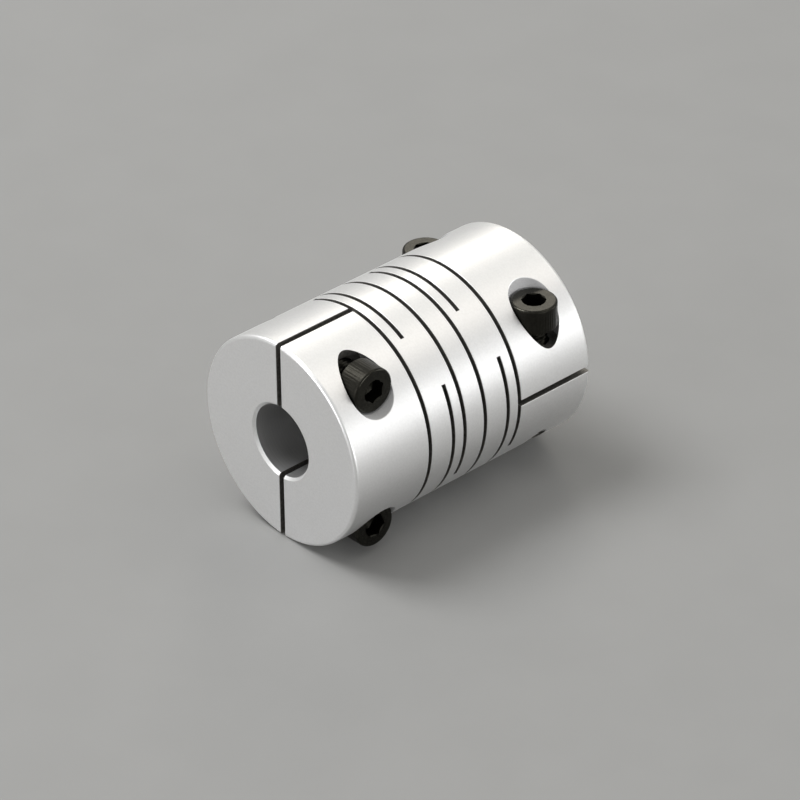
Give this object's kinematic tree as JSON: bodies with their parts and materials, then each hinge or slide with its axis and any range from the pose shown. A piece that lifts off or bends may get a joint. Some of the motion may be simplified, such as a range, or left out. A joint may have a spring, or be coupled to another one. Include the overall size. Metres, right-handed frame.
{
  "type": "beam coupling",
  "caption": "Slit one-piece flexible shaft coupling with a fully split clamp hub at each end, its screws crossed at right angles.",
  "frame": {"origin": "centre of the coupling, on its axis, midway between its end faces", "axes": "+Y along the shaft axis towards the rear hub, +X the way the front clamp cap comes off, +Z the way the rear clamp cap comes off"},
  "size_m": [0.04, 0.056, 0.04],
  "materials": {
    "hub_aluminium": "satin bead-blasted",
    "screw_steel": "black oxide, lightly oiled"
  },
  "bodies": {
    "front_hub": {"front_hub": "hub_aluminium"},
    "front_clamp_cap": {"front_clamp_cap": "hub_aluminium"},
    "rear_hub": {"rear_hub": "hub_aluminium"},
    "rear_clamp_cap": {"rear_clamp_cap": "hub_aluminium"},
    "front_upper_clamp_screw": {"front_upper_clamp_screw": "screw_steel"},
    "front_lower_clamp_screw": {"front_lower_clamp_screw": "screw_steel"},
    "rear_right_clamp_screw": {"rear_right_clamp_screw": "screw_steel"},
    "rear_left_clamp_screw": {"rear_left_clamp_screw": "screw_steel"},
    "flexure_ring_1": {"flexure_ring_1": "hub_aluminium"},
    "link_ring_1": {"link_ring_1": "hub_aluminium"},
    "flexure_ring_2": {"flexure_ring_2": "hub_aluminium"},
    "centre_ring": {"centre_ring": "hub_aluminium"},
    "flexure_ring_3": {"flexure_ring_3": "hub_aluminium"},
    "link_ring_2": {"link_ring_2": "hub_aluminium"},
    "flexure_ring_4": {"flexure_ring_4": "hub_aluminium"}
  },
  "joints": [
    {"name": "front_axial_flex", "type": "slide", "parent": "front_hub", "child": "flexure_ring_1", "axis": [0, 1, 0], "range_m": [-0.0002, 0.0002], "stiffness_N_per_m": 60000, "deforming": ["flexure_ring_1"]},
    {"name": "front_side_tilt", "type": "hinge", "parent": "flexure_ring_1", "child": "link_ring_1", "pos_m": [0, -0.00932, 0], "axis": [0, 0, 1], "range_deg": [-1, 1], "stiffness_Nm_per_rad": 20},
    {"name": "front_twist_flex", "type": "hinge", "parent": "link_ring_1", "child": "flexure_ring_2", "pos_m": [0, -0.00382, 0], "axis": [0, 1, 0], "range_deg": [-0.5, 0.5], "stiffness_Nm_per_rad": 15, "deforming": ["flexure_ring_2"]},
    {"name": "front_up_tilt", "type": "hinge", "parent": "flexure_ring_2", "child": "centre_ring", "pos_m": [0, -0.00382, 0], "axis": [1, 0, 0], "range_deg": [-1, 1], "stiffness_Nm_per_rad": 20},
    {"name": "rear_axial_flex", "type": "slide", "parent": "centre_ring", "child": "flexure_ring_3", "axis": [0, 1, 0], "range_m": [-0.0002, 0.0002], "stiffness_N_per_m": 60000, "deforming": ["flexure_ring_3"]},
    {"name": "rear_side_tilt", "type": "hinge", "parent": "flexure_ring_3", "child": "link_ring_2", "pos_m": [0, 0.00382, 0], "axis": [0, 0, 1], "range_deg": [-1, 1], "stiffness_Nm_per_rad": 20},
    {"name": "rear_twist_flex", "type": "hinge", "parent": "link_ring_2", "child": "flexure_ring_4", "pos_m": [0, 0.00932, 0], "axis": [0, 1, 0], "range_deg": [-0.5, 0.5], "stiffness_Nm_per_rad": 15, "deforming": ["flexure_ring_4"]},
    {"name": "rear_up_tilt", "type": "hinge", "parent": "flexure_ring_4", "child": "rear_hub", "pos_m": [0, 0.00932, 0], "axis": [1, 0, 0], "range_deg": [-1, 1], "stiffness_Nm_per_rad": 20},
    {"name": "front_cap_lift", "type": "slide", "parent": "front_hub", "child": "front_clamp_cap", "axis": [1, 0, 0], "range_m": [-0.0002, 0.012]},
    {"name": "rear_cap_lift", "type": "slide", "parent": "rear_hub", "child": "rear_clamp_cap", "axis": [0, 0, 1], "range_m": [-0.0002, 0.012]},
    {"name": "front_upper_screw_travel", "type": "slide", "parent": "front_clamp_cap", "child": "front_upper_clamp_screw", "axis": [1, 0, 0], "range_m": [-0.0034, 0.0061]},
    {"name": "front_lower_screw_travel", "type": "slide", "parent": "front_clamp_cap", "child": "front_lower_clamp_screw", "axis": [1, 0, 0], "range_m": [-0.0031, 0.0064]},
    {"name": "rear_right_screw_travel", "type": "slide", "parent": "rear_clamp_cap", "child": "rear_right_clamp_screw", "axis": [0, 0, 1], "range_m": [-0.0033, 0.0062]},
    {"name": "rear_left_screw_travel", "type": "slide", "parent": "rear_clamp_cap", "child": "rear_left_clamp_screw", "axis": [0, 0, 1], "range_m": [-0.00125, 0.00825]}
  ],
  "couplings": [
    {"joint": "rear_axial_flex", "follows": "front_axial_flex", "ratio": 1},
    {"joint": "rear_twist_flex", "follows": "front_twist_flex", "ratio": 1}
  ]
}
